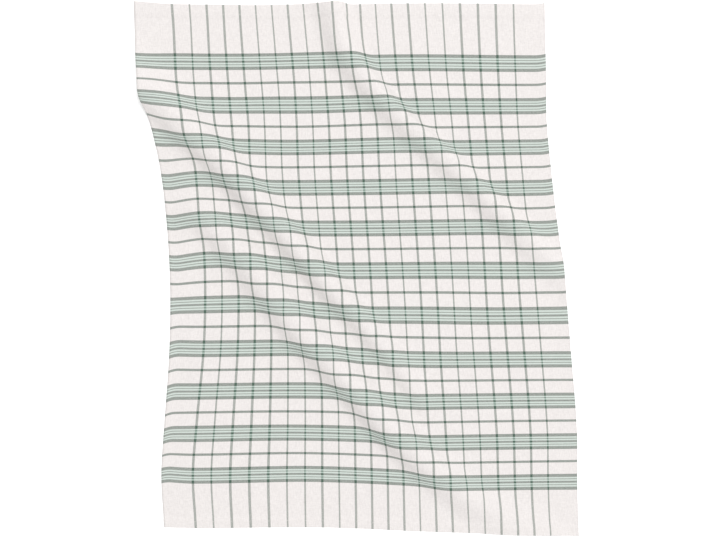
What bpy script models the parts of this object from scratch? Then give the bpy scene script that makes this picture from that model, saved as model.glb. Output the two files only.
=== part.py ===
"""A woven cotton tea towel, laid face up on a flat surface in three soft diagonal folds.

The towel is one piece of cloth. Its length is hemmed at the top and the bottom, and its two long
sides are plain selvedges. Every point of the cloth has a place on the flat cut cloth, across from
the left selvedge and down from the top hem, and lay() says where those points lie.

Units are metres, +Z is up, +Y is towards the top hem and +X towards the right selvedge. The origin
is under the middle of the towel, on the surface it lies on.
"""

import math
from collections import namedtuple

import bmesh
import bpy
import numpy as np

# The cut cloth, laid flat.
WIDTH = 0.550
LENGTH = 0.690
CLOTH_THICKNESS = 0.0012
TOP_HEM = 0.0145
BOTTOM_HEM = 0.0105
HEM_THICKNESS = 0.0020      # the hem is turned under twice
HEM_STEP = 0.002            # how far the hem's extra layers take to run out

# How finely the solid follows the cloth.
COLUMNS = 52
PLAIN_ROWS = 64

# The folds, from the top down. Each runs from its upper left end through a row of crests: where the
# crest passes on the flat cloth, how high it stands there, and how wide the fold's lower left and
# upper right flanks are, measured on the cloth.
Crest = namedtuple("Crest", "across down height lower_flank upper_flank")
FOLDS = {
    "right": [
        Crest(0.268, -0.010, 0.0135, 0.050, 0.034),
        Crest(0.276, 0.048, 0.0160, 0.044, 0.040),
        Crest(0.333, 0.128, 0.0145, 0.038, 0.030),
        Crest(0.415, 0.208, 0.0130, 0.037, 0.029),
        Crest(0.492, 0.290, 0.0120, 0.036, 0.030),
        Crest(0.560, 0.360, 0.0060, 0.036, 0.030),
    ],
    "left": [
        Crest(-0.030, 0.082, 0.0170, 0.040, 0.056),
        Crest(0.016, 0.131, 0.0210, 0.041, 0.055),
        Crest(0.060, 0.180, 0.0225, 0.046, 0.050),
        Crest(0.134, 0.262, 0.0190, 0.044, 0.043),
        Crest(0.206, 0.346, 0.0170, 0.038, 0.037),
        Crest(0.286, 0.428, 0.0110, 0.030, 0.028),
        Crest(0.338, 0.492, 0.0060, 0.024, 0.028),
        Crest(0.370, 0.545, 0.0000, 0.024, 0.030),
    ],
    "lower": [
        Crest(0.000, 0.245, 0.0000, 0.036, 0.034),
        Crest(0.044, 0.284, 0.0100, 0.036, 0.040),
        Crest(0.079, 0.319, 0.0160, 0.042, 0.042),
        Crest(0.149, 0.397, 0.0195, 0.045, 0.046),
        Crest(0.229, 0.480, 0.0205, 0.045, 0.047),
        Crest(0.314, 0.565, 0.0200, 0.045, 0.046),
        Crest(0.403, 0.640, 0.0110, 0.042, 0.036),
        Crest(0.500, 0.700, 0.0050, 0.046, 0.046),
    ],
}
STEEPEST = 0.97             # the sine of the steepest slope that a flank may have

# How far each section across the cloth has been pushed from where it would lie if the cloth were
# straight: sideways (to the right) and down, at five places from the left selvedge to the right.
PLACES_ACROSS = (0.0, 0.045, 0.185, 0.365, WIDTH)
Section = namedtuple("Section", "down side_left side_first side_inner side_outer side_right "
                                "drop_left drop_first drop_inner drop_outer drop_right")
SECTIONS = [
    Section(0.000, -0.015, -0.008, -0.011, -0.026, -0.021, -0.005, -0.001, -0.002, -0.011, -0.011),
    Section(0.080, -0.012, -0.002, -0.004, -0.019, -0.020, 0.001, -0.001, -0.003, -0.008, -0.007),
    Section(0.150, -0.006, 0.005, 0.001, -0.010, -0.020, -0.007, -0.001, 0.000, -0.006, -0.006),
    Section(0.220, 0.010, 0.012, 0.004, -0.005, -0.015, 0.002, -0.003, -0.003, -0.007, -0.008),
    Section(0.330, 0.020, 0.022, 0.014, 0.002, -0.006, 0.000, -0.006, -0.007, -0.007, -0.007),
    Section(0.440, 0.020, 0.022, 0.018, 0.009, 0.002, 0.000, 0.001, -0.001, 0.000, 0.003),
    Section(0.550, 0.013, 0.013, 0.022, 0.015, 0.009, 0.003, 0.002, -0.001, 0.001, 0.002),
    Section(0.620, 0.010, 0.009, 0.024, 0.017, 0.009, -0.001, 0.001, -0.004, 0.000, 0.000),
    Section(0.690, 0.015, 0.015, 0.026, 0.020, 0.011, -0.003, -0.003, -0.006, -0.003, 0.000),
]

# The ground colour of the bleached cotton.
COTTON_COLOUR = (0.88, 0.86, 0.84, 1.0)
COTTON_ROUGHNESS = 0.95


def clear_scene():
    for scene_object in list(bpy.data.objects):
        bpy.data.objects.remove(scene_object)


def smooth_curve(stations, values, at, level_ends=False):
    """Read a smooth curve at many places. values has a row for each station."""
    stations = np.asarray(stations, float)
    values = np.array([np.broadcast_to(row, at.shape) for row in values])
    row = np.arange(len(stations))
    before, after = np.maximum(row - 1, 0), np.minimum(row + 1, len(stations) - 1)
    slopes = (values[after] - values[before]) / (stations[after] - stations[before])[:, None]
    if level_ends:
        slopes[[0, -1]] = 0.0
    first = np.clip(np.searchsorted(stations, at) - 1, 0, len(stations) - 2)
    span = stations[first + 1] - stations[first]
    t = np.clip((at - stations[first]) / span, 0.0, 1.0)
    each = np.arange(len(at))
    return ((2 * t**3 - 3 * t**2 + 1) * values[first, each]
            + (t**3 - 2 * t**2 + t) * span * slopes[first, each]
            + (3 * t**2 - 2 * t**3) * values[first + 1, each]
            + (t**3 - t**2) * span * slopes[first + 1, each])


def section_shift(across, down, first_column):
    """The push of the cloth at each point, read from five neighbouring columns of SECTIONS."""
    downs = [section.down for section in SECTIONS]
    pushes = [smooth_curve(downs, [section[first_column + index] for section in SECTIONS], down)
              for index in range(len(PLACES_ACROSS))]
    return smooth_curve(PLACES_ACROSS, pushes, across)


def flank(height, width, from_crest):
    """One flank of a fold: its height away from the crest, and the cloth it takes up so far and
    in all. The flank is half a cosine wave, so it is steepest half way down."""
    share = np.clip(from_crest / width, 0.0, 1.0)
    steepest = np.clip(math.pi * height / (2.0 * width), 0.0, STEEPEST)
    taken_in_all = width * (1.0 - np.sqrt(1.0 - steepest**2)) * 0.5
    taken_so_far = taken_in_all * (share - np.sin(2.0 * math.pi * share) / (2.0 * math.pi))
    return height * 0.5 * (1.0 + np.cos(math.pi * share)), taken_so_far, taken_in_all


def fold_effect(crests, across, down):
    """How far one fold lifts the cloth at each point, and how far it draws it across and down."""
    start, end = crests[0], crests[-1]
    length = math.hypot(end.across - start.across, end.down - start.down)
    along_across = (end.across - start.across) / length
    along_down = (end.down - start.down) / length

    def place(at_across, at_down):
        """Where a point is along the fold, as a share of its length, and off it, to its right."""
        off_across, off_down = at_across - start.across, at_down - start.down
        return ((off_across * along_across + off_down * along_down) / length,
                off_across * along_down - off_down * along_across)

    ways, offs = zip(*(place(crest.across, crest.down) for crest in crests))
    way, off = place(across, down)
    way = np.clip(way, 0.0, 1.0)
    from_crest = off - smooth_curve(ways, offs, way)
    height = smooth_curve(ways, [crest.height for crest in crests], way, level_ends=True)
    height = np.maximum(height, 0.0)
    lower_width = smooth_curve(ways, [crest.lower_flank for crest in crests], way)
    upper_width = smooth_curve(ways, [crest.upper_flank for crest in crests], way)

    lower, lower_taken, lower_in_all = flank(height, lower_width, -from_crest)
    upper, upper_taken, upper_in_all = flank(height, upper_width, from_crest)
    on_lower = from_crest < 0.0
    # The cloth on both sides is drawn towards the crest, by the same amount at the two feet.
    drawn = np.where(on_lower, lower_taken, -upper_taken) - (lower_in_all - upper_in_all) / 2.0
    return np.where(on_lower, lower, upper), drawn * along_down, -drawn * along_across


def underside(across, down):
    """Where each point of the cloth's underside lies: an array of x, y and z."""
    side = across - WIDTH / 2.0 + section_shift(across, down, Section._fields.index("side_left"))
    drop = down - LENGTH / 2.0 + section_shift(across, down, Section._fields.index("drop_left"))
    height = np.zeros_like(side)
    for crests in FOLDS.values():
        lift, draw_side, draw_drop = fold_effect(crests, across, down)
        height = height + lift
        side = side + draw_side
        drop = drop + draw_drop
    return np.stack([side, -drop, height], axis=1)


def lay(across, down, above):
    """Points of the laid cloth, standing off its underside along the surface's normal."""
    reach = 0.001
    to_right = underside(across + reach, down) - underside(across - reach, down)
    to_bottom = underside(across, down + reach) - underside(across, down - reach)
    normal = np.cross(to_bottom, to_right)
    normal /= np.linalg.norm(normal, axis=1)[:, None]
    return underside(across, down) + normal * above[:, None]


def row_places():
    """The rows down the cloth: both hems, the steps beside them and the plain rows between."""
    first = TOP_HEM + HEM_STEP
    plain = LENGTH - BOTTOM_HEM - HEM_STEP - first
    rows = [0.0, TOP_HEM]
    rows += [first + plain * index / PLAIN_ROWS for index in range(PLAIN_ROWS + 1)]
    rows += [LENGTH - BOTTOM_HEM, LENGTH]
    return rows


def towel_mesh():
    """The cloth as a closed sheet, thicker at its two hems and flat under its flat parts."""
    rows = row_places()
    bm = bmesh.new()
    bmesh.ops.create_grid(bm, x_segments=COLUMNS, y_segments=len(rows) - 1, size=0.5)
    # The cells are split along the folds, from upper left to lower right.
    bmesh.ops.triangulate(bm, faces=bm.faces[:], quad_method="ALTERNATE")
    # Each point of the upper sheet stands over the point of the lower sheet with its number.
    number = bm.verts.layers.int.new("number")
    lower_sheet = bm.verts[:]
    across = np.array([WIDTH * (vert.co.x + 0.5) for vert in lower_sheet])
    down = np.array([rows[round((0.5 - vert.co.y) * (len(rows) - 1))] for vert in lower_sheet])
    for index, vert in enumerate(lower_sheet):
        vert[number] = index
    upper = bmesh.ops.extrude_face_region(bm, geom=bm.faces[:], use_keep_orig=True)
    upper_sheet = [item for item in upper["geom"] if isinstance(item, bmesh.types.BMVert)]

    in_hem = ((down < TOP_HEM + HEM_STEP / 2.0)
              | (down > LENGTH - BOTTOM_HEM - HEM_STEP / 2.0))
    thickness = np.where(in_hem, HEM_THICKNESS, CLOTH_THICKNESS)
    bottom_places = underside(across, down)
    top_places = lay(across, down, thickness)
    for vert in lower_sheet:
        vert.co = bottom_places[vert[number]]
    for vert in upper_sheet:
        vert.co = top_places[vert[number]]
    bmesh.ops.recalc_face_normals(bm, faces=bm.faces[:])

    # The origin goes under the middle of the towel.
    both = np.concatenate([bottom_places, top_places])
    middle = (both.min(axis=0) + both.max(axis=0)) / 2.0
    bmesh.ops.translate(bm, verts=bm.verts[:], vec=(-middle[0], -middle[1], 0.0))

    mesh = bpy.data.meshes.new("towel")
    bm.to_mesh(mesh)
    bm.free()
    mesh.shade_smooth()
    mesh.set_sharp_from_angle(angle=math.radians(60.0))
    return mesh


def cotton():
    material = bpy.data.materials.new("cotton")
    material.use_nodes = True
    shader = material.node_tree.nodes["Principled BSDF"]
    shader.inputs["Base Color"].default_value = COTTON_COLOUR
    shader.inputs["Roughness"].default_value = COTTON_ROUGHNESS
    shader.inputs["Metallic"].default_value = 0.0
    return material


def build():
    clear_scene()
    towel = bpy.data.objects.new("towel", towel_mesh())
    towel.data.materials.append(cotton())
    bpy.context.scene.collection.objects.link(towel)


build()
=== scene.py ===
import math
from collections import namedtuple
from functools import partial

import bmesh
import bpy
import numpy as np
from mathutils import Matrix, Vector, noise


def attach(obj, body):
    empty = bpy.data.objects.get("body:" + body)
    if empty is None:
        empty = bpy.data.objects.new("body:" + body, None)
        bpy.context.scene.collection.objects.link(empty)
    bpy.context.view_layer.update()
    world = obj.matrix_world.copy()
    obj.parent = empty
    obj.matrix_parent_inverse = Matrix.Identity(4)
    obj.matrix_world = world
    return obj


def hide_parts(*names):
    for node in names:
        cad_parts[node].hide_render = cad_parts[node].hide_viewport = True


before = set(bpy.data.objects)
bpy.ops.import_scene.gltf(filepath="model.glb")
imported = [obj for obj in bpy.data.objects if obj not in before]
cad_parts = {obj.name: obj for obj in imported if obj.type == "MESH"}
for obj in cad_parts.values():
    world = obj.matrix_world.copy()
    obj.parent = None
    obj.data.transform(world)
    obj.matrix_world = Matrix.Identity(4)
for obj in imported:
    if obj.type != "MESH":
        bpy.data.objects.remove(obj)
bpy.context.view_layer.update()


# ---- The cloth: one piece of plain-woven cotton -----------------------------------------------
# Yarn-dyed kitchen cotton, cut to length from the loom width, so its long sides are selvedges.
# It was shaken out and laid down by hand, and it caught in three soft diagonal folds.

WIDTH = 0.550
LENGTH = 0.690
CLOTH_THICKNESS = 0.0005

# The folds, from the top down. Each runs from its upper left end through a row of crests: where the
# crest passes on the flat cloth, how high it stands there, and how wide the fold's lower left and
# upper right flanks are, measured on the cloth.
Crest = namedtuple("Crest", "across down height lower_flank upper_flank")
FOLDS = {
    "right": [
        Crest(0.268, -0.010, 0.0135, 0.050, 0.034),
        Crest(0.276, 0.048, 0.0160, 0.044, 0.040),
        Crest(0.333, 0.128, 0.0145, 0.038, 0.030),
        Crest(0.415, 0.208, 0.0130, 0.037, 0.029),
        Crest(0.492, 0.290, 0.0120, 0.036, 0.030),
        Crest(0.560, 0.360, 0.0060, 0.036, 0.030),
    ],
    "left": [
        Crest(-0.030, 0.082, 0.0170, 0.040, 0.056),
        Crest(0.016, 0.131, 0.0210, 0.041, 0.055),
        Crest(0.060, 0.180, 0.0225, 0.046, 0.050),
        Crest(0.134, 0.262, 0.0190, 0.044, 0.043),
        Crest(0.206, 0.346, 0.0170, 0.038, 0.037),
        Crest(0.286, 0.428, 0.0110, 0.030, 0.028),
        Crest(0.338, 0.492, 0.0060, 0.024, 0.028),
        Crest(0.370, 0.545, 0.0000, 0.024, 0.030),
    ],
    "lower": [
        Crest(0.000, 0.245, 0.0000, 0.036, 0.034),
        Crest(0.044, 0.284, 0.0100, 0.036, 0.040),
        Crest(0.079, 0.319, 0.0160, 0.042, 0.042),
        Crest(0.149, 0.397, 0.0195, 0.045, 0.046),
        Crest(0.229, 0.480, 0.0205, 0.045, 0.047),
        Crest(0.314, 0.565, 0.0200, 0.045, 0.046),
        Crest(0.403, 0.640, 0.0110, 0.042, 0.036),
        Crest(0.500, 0.700, 0.0050, 0.046, 0.046),
    ],
}
STEEPEST = 0.97             # the sine of the steepest slope that a flank may have

# How far each section across the cloth has been pushed from where it would lie if the cloth were
# straight: sideways (to the right) and down, at five places from the left selvedge to the right.
PLACES_ACROSS = (0.0, 0.045, 0.185, 0.365, WIDTH)
Section = namedtuple("Section", "down side_left side_first side_inner side_outer side_right "
                                "drop_left drop_first drop_inner drop_outer drop_right")
SECTIONS = [
    Section(0.000, -0.015, -0.008, -0.011, -0.026, -0.021, -0.005, -0.001, -0.002, -0.011, -0.011),
    Section(0.080, -0.012, -0.002, -0.004, -0.019, -0.020, 0.001, -0.001, -0.003, -0.008, -0.007),
    Section(0.150, -0.006, 0.005, 0.001, -0.010, -0.020, -0.007, -0.001, 0.000, -0.006, -0.006),
    Section(0.220, 0.010, 0.012, 0.004, -0.005, -0.015, 0.002, -0.003, -0.003, -0.007, -0.008),
    Section(0.330, 0.020, 0.022, 0.014, 0.002, -0.006, 0.000, -0.006, -0.007, -0.007, -0.007),
    Section(0.440, 0.020, 0.022, 0.018, 0.009, 0.002, 0.000, 0.001, -0.001, 0.000, 0.003),
    Section(0.550, 0.013, 0.013, 0.022, 0.015, 0.009, 0.003, 0.002, -0.001, 0.001, 0.002),
    Section(0.620, 0.010, 0.009, 0.024, 0.017, 0.009, -0.001, 0.001, -0.004, 0.000, 0.000),
    Section(0.690, 0.015, 0.015, 0.026, 0.020, 0.011, -0.003, -0.003, -0.006, -0.003, 0.000),
]

# Creases left in the cloth: low soft ridges, each from one place on the flat cloth to another.
Crease = namedtuple("Crease", "across_from down_from across_to down_to height half_width")
CREASES = [
    Crease(0.268, 0.130, 0.262, 0.340, 0.0005, 0.014),
    Crease(0.000, 0.020, 0.200, 0.320, 0.0025, 0.050),
]

# The selvedges are woven tighter than the rest. They stand up a little, and they have slid along the
# cloth inside them: how far down each is pulled, at some distances down the towel.
SELVEDGE_WIDTH = 0.014
SELVEDGE_LIFT = 0.0007
Pull = namedtuple("Pull", "down left right")
PULLS = [
    Pull(0.000, 0.0000, -0.0018),
    Pull(0.150, 0.0000, -0.0016),
    Pull(0.240, -0.0022, -0.0014),
    Pull(0.360, -0.0020, -0.0007),
    Pull(0.440, 0.0028, 0.0000),
    Pull(0.600, 0.0026, -0.0004),
    Pull(0.690, 0.0000, 0.0000),
]

# The cloth doesn't lie quite flat anywhere: it has low waves of two sizes all over.
Wave = namedtuple("Wave", "length height")
WAVES = [Wave(length=0.060, height=0.0007), Wave(length=0.022, height=0.0003)]
NOISE_APART = 10.0          # how far apart in the noise the two sizes of wave are read


def ease(part):
    """0 to 1 with a soft start and end."""
    part = np.clip(part, 0.0, 1.0)
    return part * part * (3.0 - 2.0 * part)


def smooth_curve(stations, values, at, level_ends=False):
    """Read a smooth curve at many places. values has a row for each station."""
    stations = np.asarray(stations, float)
    values = np.array([np.broadcast_to(row, at.shape) for row in values])
    row = np.arange(len(stations))
    before, after = np.maximum(row - 1, 0), np.minimum(row + 1, len(stations) - 1)
    slopes = (values[after] - values[before]) / (stations[after] - stations[before])[:, None]
    if level_ends:
        slopes[[0, -1]] = 0.0
    first = np.clip(np.searchsorted(stations, at) - 1, 0, len(stations) - 2)
    span = stations[first + 1] - stations[first]
    t = np.clip((at - stations[first]) / span, 0.0, 1.0)
    each = np.arange(len(at))
    return ((2 * t**3 - 3 * t**2 + 1) * values[first, each]
            + (t**3 - 2 * t**2 + t) * span * slopes[first, each]
            + (3 * t**2 - 2 * t**3) * values[first + 1, each]
            + (t**3 - t**2) * span * slopes[first + 1, each])


def section_shift(across, down, first_column):
    """The push of the cloth at each point, read from five neighbouring columns of SECTIONS."""
    downs = [section.down for section in SECTIONS]
    pushes = [smooth_curve(downs, [section[first_column + index] for section in SECTIONS], down)
              for index in range(len(PLACES_ACROSS))]
    return smooth_curve(PLACES_ACROSS, pushes, across)


def flank(height, width, from_crest):
    """One flank of a fold: its height away from the crest, and the cloth it takes up so far and
    in all. The flank is half a cosine wave, so it is steepest half way down."""
    share = np.clip(from_crest / width, 0.0, 1.0)
    steepest = np.clip(math.pi * height / (2.0 * width), 0.0, STEEPEST)
    taken_in_all = width * (1.0 - np.sqrt(1.0 - steepest**2)) * 0.5
    taken_so_far = taken_in_all * (share - np.sin(2.0 * math.pi * share) / (2.0 * math.pi))
    return height * 0.5 * (1.0 + np.cos(math.pi * share)), taken_so_far, taken_in_all


def fold_effect(crests, across, down):
    """How far one fold lifts the cloth at each point, and how far it draws it across and down."""
    start, end = crests[0], crests[-1]
    length = math.hypot(end.across - start.across, end.down - start.down)
    along_across = (end.across - start.across) / length
    along_down = (end.down - start.down) / length

    def place(at_across, at_down):
        """Where a point is along the fold, as a share of its length, and off it, to its right."""
        off_across, off_down = at_across - start.across, at_down - start.down
        return ((off_across * along_across + off_down * along_down) / length,
                off_across * along_down - off_down * along_across)

    ways, offs = zip(*(place(crest.across, crest.down) for crest in crests))
    way, off = place(across, down)
    way = np.clip(way, 0.0, 1.0)
    from_crest = off - smooth_curve(ways, offs, way)
    height = smooth_curve(ways, [crest.height for crest in crests], way, level_ends=True)
    height = np.maximum(height, 0.0)
    lower_width = smooth_curve(ways, [crest.lower_flank for crest in crests], way)
    upper_width = smooth_curve(ways, [crest.upper_flank for crest in crests], way)

    lower, lower_taken, lower_in_all = flank(height, lower_width, -from_crest)
    upper, upper_taken, upper_in_all = flank(height, upper_width, from_crest)
    on_lower = from_crest < 0.0
    # The cloth on both sides is drawn towards the crest, by the same amount at the two feet.
    drawn = np.where(on_lower, lower_taken, -upper_taken) - (lower_in_all - upper_in_all) / 2.0
    return np.where(on_lower, lower, upper), drawn * along_down, -drawn * along_across


def crease_lift(crease, across, down):
    """How far a crease lifts the cloth at each point."""
    start = np.array([crease.across_from, crease.down_from])
    run = np.array([crease.across_to, crease.down_to]) - start
    length = math.hypot(*run)
    off_across, off_down = across - start[0], down - start[1]
    way = (off_across * run[0] + off_down * run[1]) / length**2
    aside = np.abs(off_across * run[1] - off_down * run[0]) / length
    lengthwise = np.sin(math.pi * np.clip(way, 0.0, 1.0))**2
    return crease.height * lengthwise * (1.0 - ease(aside / crease.half_width))


def unevenness(across, down):
    """The height of the waves all over the cloth. It is never below 0."""
    height = np.zeros_like(across)
    for number, wave in enumerate(WAVES):
        places = zip(across / wave.length, down / wave.length)
        swell = np.array([noise.noise((x, y, NOISE_APART * number)) for x, y in places])
        height += wave.height * 0.5 * (1.0 + np.clip(swell, -1.0, 1.0))
    return height


def underside(across, down):
    """Where each point of the cloth's underside lies: an array of x, y and z."""
    side = across - WIDTH / 2.0 + section_shift(across, down, Section._fields.index("side_left"))
    drop = down - LENGTH / 2.0 + section_shift(across, down, Section._fields.index("drop_left"))
    height = unevenness(across, down)
    for crests in FOLDS.values():
        lift, draw_side, draw_drop = fold_effect(crests, across, down)
        height = height + lift
        side = side + draw_side
        drop = drop + draw_drop
    for crease in CREASES:
        height = height + crease_lift(crease, across, down)
    pulls_down, left_pulls, right_pulls = zip(*PULLS)
    for pulls, inwards in ((left_pulls, across), (right_pulls, WIDTH - across)):
        nearness = np.clip(1.0 - inwards / SELVEDGE_WIDTH, 0.0, 1.0)**2
        drop = drop + smooth_curve(pulls_down, pulls, down) * nearness
        height = height + SELVEDGE_LIFT * nearness
    return np.stack([side, -drop, height], axis=1)


NORMAL_REACH = 0.001        # how far to each side the slope of the cloth is read


def surface(across, down):
    """The underside's points and its upward normals."""
    to_right = underside(across + NORMAL_REACH, down) - underside(across - NORMAL_REACH, down)
    to_bottom = underside(across, down + NORMAL_REACH) - underside(across, down - NORMAL_REACH)
    normal = np.cross(to_bottom, to_right)
    normal /= np.linalg.norm(normal, axis=1)[:, None]
    return underside(across, down), normal


# Each hem is turned under twice: from its raw edge the cloth runs inwards between two layers, turns
# under, runs back out to the edge and comes up over it. LAYER is one layer's share of the hem.
TOP_HEM = 0.0145
BOTTOM_HEM = 0.0105
TURN_IN_SHARE = 0.75        # how much of the hem's depth the raw edge is turned in
LAYER = 0.0005
LAYERS_TURNED_UNDER = 2
HEM_STEP = 0.005            # how far the top layer takes to come down to the plain cloth
# The mesh's rows of points down the cloth, and its columns across it.
ROW_PITCH = 0.0032
HEM_ROW_PITCH = 0.0018
COLUMN_PITCH = 0.0031
TURN_STEPS = 4


def hem_rows(depth):
    """The cloth's way through a hem, from its raw edge to the plain cloth, as (in, above)."""
    rows = []
    for inwards in np.arange(depth * (1.0 - TURN_IN_SHARE), depth - LAYER, HEM_ROW_PITCH):
        rows.append((inwards, 1.5 * LAYER))
    for step in range(TURN_STEPS + 1):
        angle = math.pi * (0.5 - step / TURN_STEPS)
        rows.append((depth - LAYER / 2 + LAYER / 2 * math.cos(angle),
                     LAYER + LAYER / 2 * math.sin(angle)))
    for inwards in np.arange(depth - LAYER - HEM_ROW_PITCH, 2 * LAYER, -HEM_ROW_PITCH):
        rows.append((inwards, 0.5 * LAYER))
    for step in range(TURN_STEPS + 1):
        angle = math.pi * (step / TURN_STEPS - 0.5)
        rows.append((LAYER + CLOTH_THICKNESS / 2 - LAYER * math.cos(angle),
                     1.5 * LAYER + LAYER * math.sin(angle)))
    for inwards in np.arange(3 * LAYER, depth + HEM_STEP, HEM_ROW_PITCH):
        over_the_others = 1.0 - ease((inwards - depth) / HEM_STEP)
        rows.append((inwards, LAYER * (0.5 + LAYERS_TURNED_UNDER * over_the_others)))
    return rows


top_rows = hem_rows(TOP_HEM)
bottom_rows = [(LENGTH - inwards, above) for inwards, above in reversed(hem_rows(BOTTOM_HEM))]
first, last = TOP_HEM + HEM_STEP, LENGTH - BOTTOM_HEM - HEM_STEP
plain_count = round((last - first) / ROW_PITCH)
plain_rows = [(down, LAYER / 2) for down in np.linspace(first, last, plain_count)]
ROW_DOWN, ROW_ABOVE = np.array(top_rows + plain_rows + bottom_rows).T
ROW_RUN = np.concatenate([[0.0], np.cumsum(np.hypot(np.diff(ROW_DOWN), np.diff(ROW_ABOVE)))])
# The cut cloth is longer than the towel by the cloth turned under at both hems. TURNED_UNDER is what
# the top hem takes, so the pattern can be counted from the towel's own top edge.
TURNED_UNDER = float(ROW_RUN[len(top_rows)] - ROW_DOWN[len(top_rows)])

columns = round(WIDTH / COLUMN_PITCH)
bm = bmesh.new()
bmesh.ops.create_grid(bm, x_segments=columns, y_segments=len(ROW_DOWN) - 1, size=0.5)
mesh = bpy.data.meshes.new("tea towel")
bm.to_mesh(mesh)
bm.free()

# The flat grid runs from -0.5 to 0.5 both ways. Its places become places on the cloth.
flat = np.empty(len(mesh.vertices) * 3)
mesh.vertices.foreach_get("co", flat)
flat = flat.reshape(-1, 3)
row = np.rint((0.5 - flat[:, 1]) * (len(ROW_DOWN) - 1)).astype(int)
across = (flat[:, 0] + 0.5) * WIDTH
below, upwards = surface(across, ROW_DOWN[row])
laid = below + upwards * ROW_ABOVE[row][:, None]

# The solid's middle is over the origin, and so is this cloth's.
middle = (laid.min(axis=0) + laid.max(axis=0)) / 2.0
middle[2] = 0.0
mesh.vertices.foreach_set("co", (laid - middle).ravel())

corner = np.empty(len(mesh.loops), int)
mesh.loops.foreach_get("vertex_index", corner)
cloth_map = mesh.uv_layers.new(name="cloth")
cloth_map.uv.foreach_set("vector", np.stack([across, ROW_RUN[row]], axis=1)[corner].ravel())
mesh.update()
mesh.shade_smooth()

towel = bpy.data.objects.new("tea_towel", mesh)
bpy.context.scene.collection.objects.link(towel)
thickness = towel.modifiers.new("cloth thickness", "SOLIDIFY")
thickness.thickness = CLOTH_THICKNESS
thickness.offset = 0.0

# The weave. Every end of warp and pick of weft is one colour all the way, white or green-grey, or
# pale green among the bands' picks. Stripes and lines are counted in ends and picks.
WARP_PITCH = 0.0005186
STRIPE_EVERY = 43           # ends from one stripe's middle to the next's
FIRST_STRIPE = 82           # ends from the left selvedge to the first stripe's middle
STRIPE_COUNT = 22
WIDE_STRIPE, NARROW_STRIPE = 6, 4
NARROW_ONES = (1, 5, 6, 8, 13, 16, 17, 21)      # counted from the left, the first stripe being 0

WEFT_PITCH = 0.000515
BAND_EVERY = 106            # picks from one band's middle pick to the next's
FIRST_BAND = 143            # picks above the first band's middle pick
BAND_COUNT = 11
CENTRE_LINE = 5             # picks in the line down a band's middle
INNER_LINE = (7, 8)         # the first and last pick of each line, counted from the band's middle
OUTER_LINE = (13, 20)
SINGLE_LINE = 6             # picks in the line between two bands

WEFT_SHARE = 0.43           # how much of the surface is weft
DYED_WEFT_SHARE = 0.67      # the same where the weft is dyed, and packed closer


def srgb(red, green, blue):
    """A colour in the shader's linear terms, from the 0 to 255 that a colour picker shows."""
    parts = [part / 255.0 for part in (red, green, blue)]
    linear = [part / 12.92 if part <= 0.04045 else ((part + 0.055) / 1.055)**2.4 for part in parts]
    return (*linear, 1.0)


WHITE_YARN = srgb(241, 236, 234)
SHADED_WHITE_YARN = srgb(222, 217, 215)
GREEN_YARN = srgb(78, 97, 86)
LIGHTER_GREEN_YARN = srgb(92, 112, 100)
PALE_YARN = srgb(194, 211, 202)


def node(tree, kind, **values):
    """A node with its settings filled in."""
    made = tree.nodes.new(kind)
    for name, value in values.items():
        setattr(made, name, value)
    return made


def feed(tree, socket, term):
    """Give a socket a number or a colour, or link another node's output to it."""
    if isinstance(term, bpy.types.NodeSocket):
        tree.links.new(term, socket)
    else:
        socket.default_value = term


def math_node(tree, operation, *terms, clamp=False):
    """A Math node's output. A term is a number or another node's output."""
    made = node(tree, "ShaderNodeMath", operation=operation, use_clamp=clamp)
    for socket, term in zip(made.inputs, terms):
        feed(tree, socket, term)
    return made.outputs[0]


def mixed(tree, share, first, second, blend="MIX"):
    """A colour between two, each a colour or another node's output."""
    made = node(tree, "ShaderNodeMix", data_type="RGBA", blend_type=blend)
    for socket, term in ((made.inputs[0], share), (made.inputs[6], first), (made.inputs[7], second)):
        feed(tree, socket, term)
    return made.outputs[2]


def node_group(name, inputs, outputs):
    """An empty node group with named number inputs and outputs, and its two end nodes."""
    group = bpy.data.node_groups.new(name, "ShaderNodeTree")
    for socket_name in inputs:
        group.interface.new_socket(socket_name, in_out="INPUT", socket_type="NodeSocketFloat")
    for socket_name in outputs:
        group.interface.new_socket(socket_name, in_out="OUTPUT", socket_type="NodeSocketFloat")
    return group, group.nodes.new("NodeGroupInput"), group.nodes.new("NodeGroupOutput")


def place_group(tree, group, *terms):
    """A group's node with its inputs fed in order."""
    made = node(tree, "ShaderNodeGroup", node_tree=group)
    for socket, term in zip(made.inputs, terms):
        feed(tree, socket, term)
    return made


# Spun yarn is thick and thin along its length, and each yarn in its own way.
SLUB_LENGTH = 0.006
SLUB_DETAIL = 2.0
SLUB_RANGE = (0.30, 0.70)   # the part of the noise's range that is spread over 0 to 1
YARNS_APART = 1.7           # how far apart in the noise two neighbouring yarns are read
yarn_group, given, result = node_group("spun yarn", ["Along", "Yarn Number"], ["Slub"])
yarn_math = partial(math_node, yarn_group)
place = node(yarn_group, "ShaderNodeCombineXYZ")
feed(yarn_group, place.inputs["X"], yarn_math("DIVIDE", given.outputs["Along"], SLUB_LENGTH))
feed(yarn_group, place.inputs["Y"], yarn_math("MULTIPLY", given.outputs["Yarn Number"], YARNS_APART))
slubs = node(yarn_group, "ShaderNodeTexNoise", noise_dimensions="2D")
slubs.inputs["Scale"].default_value = 1.0
slubs.inputs["Detail"].default_value = SLUB_DETAIL
feed(yarn_group, slubs.inputs["Vector"], place.outputs[0])
spread = node(yarn_group, "ShaderNodeMapRange")
spread.inputs["From Min"].default_value, spread.inputs["From Max"].default_value = SLUB_RANGE
feed(yarn_group, spread.inputs["Value"], slubs.outputs[0])
feed(yarn_group, result.inputs["Slub"], spread.outputs[0])

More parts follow.
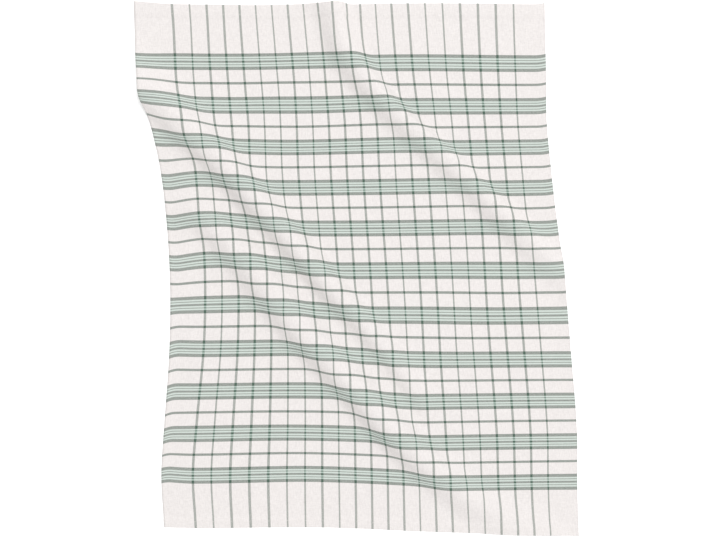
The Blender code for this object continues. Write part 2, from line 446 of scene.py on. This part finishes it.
# Plain weave: warp and weft pass over each other in turn, and the higher one shows.
CRIMP = 0.5                 # how far a yarn rises over the one it crosses, in yarn heights
CRISPNESS = 3.0             # how sharply one yarn's edge stands out on the next
WEFT_LIFT = 1.6             # how far a greater share of weft lifts the weft over the warp
weave_group, given, result = node_group(
    "plain weave", ["Warp Place", "Weft Place", "Weft Share", "Warp Slub", "Weft Slub"],
    ["Weft Shows", "Height"])
weave_math = partial(math_node, weave_group)
# Each yarn is round, and it bows over and under at every crossing.
warp_round, weft_round = (weave_math("SINE", weave_math("MULTIPLY", given.outputs[name], math.pi))
                          for name in ("Warp Place", "Weft Place"))
bow = weave_math("MULTIPLY", weave_math("MULTIPLY", warp_round, weft_round), CRIMP)
lift = weave_math("MULTIPLY", weave_math("SUBTRACT", given.outputs["Weft Share"], 0.5), WEFT_LIFT)
warp_height = weave_math("ADD", weave_math("ABSOLUTE", warp_round), weave_math("SUBTRACT", bow, lift))
weft_height = weave_math("ADD", weave_math("ABSOLUTE", weft_round), weave_math("SUBTRACT", lift, bow))
warp_height = weave_math("ADD", warp_height, given.outputs["Warp Slub"])
weft_height = weave_math("ADD", weft_height, given.outputs["Weft Slub"])
over = weave_math("MULTIPLY", weave_math("SUBTRACT", weft_height, warp_height), CRISPNESS)
feed(weave_group, result.inputs["Weft Shows"], weave_math("ADD", over, 0.5, clamp=True))
feed(weave_group, result.inputs["Height"], weave_math("MAXIMUM", warp_height, weft_height))


HALF_STEP = 0.5             # half the way from one whole number to the next


def steps_apart(tree, number, first, every, count):
    """How many yarns a yarn is from the nearest of count evenly spaced places, and which place."""
    counted = math_node(tree, "DIVIDE", math_node(tree, "SUBTRACT", number, first), every)
    nearest = math_node(tree, "ROUND", counted)
    nearest = math_node(tree, "MINIMUM", math_node(tree, "MAXIMUM", nearest, 0.0), count - 1.0)
    apart = math_node(tree, "MULTIPLY", math_node(tree, "SUBTRACT", counted, nearest), every)
    return math_node(tree, "ABSOLUTE", apart), nearest


def between(tree, apart, low, high):
    """1 where a count of yarns or stripes is from low to high, and 0 elsewhere."""
    return math_node(tree, "COMPARE", apart, (low + high) / 2.0, (high - low) / 2.0 + HALF_STEP)


def either(tree, *masks):
    """1 where any of the masks is."""
    joined = masks[0]
    for mask in masks[1:]:
        joined = math_node(tree, "MAXIMUM", joined, mask)
    return joined


cotton = bpy.data.materials.new("striped cotton")
cotton.use_nodes = True
tree = cotton.node_tree
shader = tree.nodes["Principled BSDF"]
place = node(tree, "ShaderNodeUVMap", uv_map="cloth")
split = node(tree, "ShaderNodeSeparateXYZ")
feed(tree, split.inputs[0], place.outputs["UV"])
across_place = split.outputs["X"]
down_place = math_node(tree, "SUBTRACT", split.outputs["Y"], TURNED_UNDER)
warp_place = math_node(tree, "DIVIDE", across_place, WARP_PITCH)
weft_place = math_node(tree, "DIVIDE", down_place, WEFT_PITCH)
end_number = math_node(tree, "FLOOR", warp_place)
pick_number = math_node(tree, "FLOOR", weft_place)

end_middle = math_node(tree, "ADD", end_number, HALF_STEP)
from_stripe, stripe_number = steps_apart(tree, end_middle, FIRST_STRIPE, STRIPE_EVERY, STRIPE_COUNT)
is_narrow = either(tree, *(between(tree, stripe_number, number, number) for number in NARROW_ONES))
half_stripe = math_node(tree, "MULTIPLY_ADD", is_narrow,
                        (NARROW_STRIPE - WIDE_STRIPE) / 2.0, WIDE_STRIPE / 2.0)
green_warp = math_node(tree, "LESS_THAN", from_stripe, half_stripe)

from_band, _ = steps_apart(tree, pick_number, FIRST_BAND, BAND_EVERY, BAND_COUNT)
from_single, _ = steps_apart(
    tree, pick_number, FIRST_BAND + (BAND_EVERY - 1) / 2, BAND_EVERY, BAND_COUNT - 1)
green_weft = either(tree, math_node(tree, "LESS_THAN", from_band, CENTRE_LINE / 2),
                    math_node(tree, "LESS_THAN", from_single, SINGLE_LINE / 2),
                    between(tree, from_band, *INNER_LINE), between(tree, from_band, *OUTER_LINE))
in_band = between(tree, from_band, 0, OUTER_LINE[1])

SLUB_HEIGHT = 0.20          # how far a thick place stands out, in yarn heights
warp_slub = place_group(tree, yarn_group, down_place, end_number).outputs["Slub"]
weft_slub = place_group(tree, yarn_group, across_place, pick_number).outputs["Slub"]
weft_share = math_node(tree, "MULTIPLY_ADD", either(tree, green_weft, in_band),
                       DYED_WEFT_SHARE - WEFT_SHARE, WEFT_SHARE)
weave = place_group(tree, weave_group, warp_place, weft_place, weft_share,
                    math_node(tree, "MULTIPLY", warp_slub, SLUB_HEIGHT),
                    math_node(tree, "MULTIPLY", weft_slub, SLUB_HEIGHT))

# Neither the dye nor the bleach took evenly along the yarns.
warp_green = mixed(tree, warp_slub, GREEN_YARN, LIGHTER_GREEN_YARN)
weft_green = mixed(tree, weft_slub, GREEN_YARN, LIGHTER_GREEN_YARN)
weft_white = mixed(tree, weft_slub, WHITE_YARN, SHADED_WHITE_YARN)
warp_white = mixed(tree, warp_slub, WHITE_YARN, SHADED_WHITE_YARN)
weft_yarn = mixed(tree, green_weft, mixed(tree, in_band, weft_white, PALE_YARN), weft_green)
warp_yarn = mixed(tree, green_warp, warp_white, warp_green)
# The yarns are fuzzy, so each takes on some of the colour of the one it crosses.
FUZZ = 0.5
shown = math_node(tree, "ADD", math_node(tree, "MULTIPLY", weave.outputs["Weft Shows"], 1.0 - FUZZ),
                  math_node(tree, "MULTIPLY", weft_share, FUZZ))
cloth_colour = mixed(tree, shown, warp_yarn, weft_yarn)
# Less light reaches the dips between the yarns.
DIP_SHADE = (0.90, 0.90, 0.90, 1.0)
in_dip = math_node(tree, "SUBTRACT", 1.0, weave.outputs["Height"], clamp=True)
shaded_colour = mixed(tree, 1.0, cloth_colour, DIP_SHADE, blend="MULTIPLY")
feed(tree, shader.inputs["Base Color"], mixed(tree, in_dip, cloth_colour, shaded_colour))

COTTON_ROUGHNESS = 0.92
COTTON_SPECULAR = 0.2
YARN_HEIGHT = 0.00010
YARN_RELIEF = 0.6
shader.inputs["Roughness"].default_value = COTTON_ROUGHNESS
shader.inputs["Specular IOR Level"].default_value = COTTON_SPECULAR


def add_relief(tree, shader, height, distance, strength):
    """Let a pattern stand out from a surface by up to a distance."""
    relief = node(tree, "ShaderNodeBump")
    relief.inputs["Strength"].default_value = strength
    relief.inputs["Distance"].default_value = distance
    feed(tree, relief.inputs["Height"], height)
    feed(tree, shader.inputs["Normal"], relief.outputs["Normal"])


add_relief(tree, shader, weave.outputs["Height"], YARN_HEIGHT, YARN_RELIEF)
mesh.materials.append(cotton)

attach(towel, "root")
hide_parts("towel")


# ---- The hem stitching ----------------------------------------------------------------------------
# White sewing cotton, lockstitched along both hems just inside their inner folds. Each stitch is a
# short length of thread that shows on the face and, half a stitch on, underneath.

STITCH_PITCH = 0.0032
STITCH_LENGTH = 0.0026
THREAD_WIDTH = 0.00036
THREAD_RISE = 0.00012       # how far a stitch stands above the cloth it is pulled into
STITCH_FROM_FOLD = 0.0015
STITCH_FROM_SIDE = 0.002
STITCH_SIDES, STITCH_RINGS = 6, 4

stitch_count = int((WIDTH - 2 * STITCH_FROM_SIDE) / STITCH_PITCH)
bm = bmesh.new()
for line in (TOP_HEM - STITCH_FROM_FOLD, LENGTH - BOTTOM_HEM + STITCH_FROM_FOLD):
    for above, start in ((3 * LAYER, STITCH_FROM_SIDE), (0.0, STITCH_FROM_SIDE + STITCH_PITCH / 2)):
        middles = start + STITCH_PITCH * (np.arange(stitch_count) + 0.5)
        line_down = np.full_like(middles, line)
        points, normals = surface(middles, line_down)
        ahead, _ = surface(middles + STITCH_LENGTH / 2, line_down)
        for point, normal, tip in zip(points + normals * above - middle, normals, ahead - middle):
            along = Vector(tip + normal * above - point).normalized()
            up = Vector(normal)
            turned = Matrix((along, up.cross(along), up)).transposed().to_4x4()
            sized = Matrix.Diagonal((STITCH_LENGTH / 2, THREAD_WIDTH / 2, THREAD_RISE, 1.0))
            bmesh.ops.create_uvsphere(bm, u_segments=STITCH_SIDES, v_segments=STITCH_RINGS,
                                      radius=1.0,
                                      matrix=Matrix.Translation(point) @ turned @ sized)
stitch_mesh = bpy.data.meshes.new("hem stitching")
bm.to_mesh(stitch_mesh)
bm.free()
stitch_mesh.shade_smooth()
stitching = bpy.data.objects.new("hem_stitching", stitch_mesh)
bpy.context.scene.collection.objects.link(stitching)

THREAD_COLOUR = srgb(240, 237, 233)
SHADED_THREAD_COLOUR = srgb(226, 222, 218)
THREAD_ROUGHNESS = 0.75
THREAD_RELIEF = 0.4
thread = bpy.data.materials.new("white sewing cotton")
thread.use_nodes = True
tree = thread.node_tree
shader = tree.nodes["Principled BSDF"]
place = node(tree, "ShaderNodeTexCoord")
split = node(tree, "ShaderNodeSeparateXYZ")
feed(tree, split.inputs[0], place.outputs["Object"])
slub = place_group(tree, yarn_group, split.outputs["X"],
                   math_node(tree, "DIVIDE", split.outputs["Y"], THREAD_WIDTH)).outputs["Slub"]
feed(tree, shader.inputs["Base Color"], mixed(tree, slub, SHADED_THREAD_COLOUR, THREAD_COLOUR))
shader.inputs["Roughness"].default_value = THREAD_ROUGHNESS
add_relief(tree, shader, slub, THREAD_RISE, THREAD_RELIEF)
stitch_mesh.materials.append(thread)

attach(stitching, "root")


# ---- The floor, the light and the camera ----------------------------------------------------------
# A plain white studio floor, and a very soft light from overhead with a little more from the upper
# right. The camera looks straight down.

FLOOR_SIZE = 60.0
FLOOR_GAP = 0.0002          # how far the floor is below the cloth, so the two don't touch
FLOOR_WHITE = (0.98, 0.98, 0.98, 1.0)
FLOOR_ROUGHNESS = 0.9
FLOOR_GLOW = 0.25           # it is lit from below as well, so that no shadow shows on it
LIGHT_WHITE = (1.0, 1.0, 1.0, 1.0)
bm = bmesh.new()
bmesh.ops.create_grid(bm, x_segments=1, y_segments=1, size=FLOOR_SIZE / 2)
bmesh.ops.translate(bm, verts=bm.verts[:], vec=(0.0, 0.0, -FLOOR_GAP))
floor_mesh = bpy.data.meshes.new("floor")
bm.to_mesh(floor_mesh)
bm.free()
floor = bpy.data.objects.new("floor", floor_mesh)
bpy.context.scene.collection.objects.link(floor)
floor_paint = bpy.data.materials.new("white floor")
floor_paint.use_nodes = True
floor_shader = floor_paint.node_tree.nodes["Principled BSDF"]
floor_shader.inputs["Base Color"].default_value = FLOOR_WHITE
floor_shader.inputs["Roughness"].default_value = FLOOR_ROUGHNESS
floor_shader.inputs["Specular IOR Level"].default_value = 0.0
floor_shader.inputs["Emission Color"].default_value = LIGHT_WHITE
floor_shader.inputs["Emission Strength"].default_value = FLOOR_GLOW
floor_mesh.materials.append(floor_paint)

SKY_LIGHT = 0.77
KEY_LIGHT_AT = Vector((2.1, 2.3, 7.8))
KEY_LIGHT_SIZE = 3.0
KEY_LIGHT_POWER = 310.0

world = bpy.data.worlds.new("studio")
bpy.context.scene.world = world
world.use_nodes = True
sky = world.node_tree.nodes["Background"]
sky.inputs["Color"].default_value = LIGHT_WHITE
sky.inputs["Strength"].default_value = SKY_LIGHT

lamp = bpy.data.lights.new("key light", "AREA")
lamp.size = KEY_LIGHT_SIZE
lamp.energy = KEY_LIGHT_POWER
key_light = bpy.data.objects.new("key light", lamp)
key_light.location = KEY_LIGHT_AT
key_light.rotation_euler = (-KEY_LIGHT_AT).to_track_quat("-Z", "Y").to_euler()
bpy.context.scene.collection.objects.link(key_light)

CAMERA_HEIGHT = 1.600
VIEW_WIDTH = 0.9294         # the width of floor that the picture takes in
SENSOR_WIDTH = 36.0
lens = bpy.data.cameras.new("camera")
lens.sensor_width = SENSOR_WIDTH
lens.lens = SENSOR_WIDTH * CAMERA_HEIGHT / VIEW_WIDTH
camera = bpy.data.objects.new("camera", lens)
camera.location = (-middle[0], -middle[1], CAMERA_HEIGHT)
bpy.context.scene.collection.objects.link(camera)
bpy.context.scene.camera = camera
bpy.context.scene.view_settings.view_transform = "Standard"
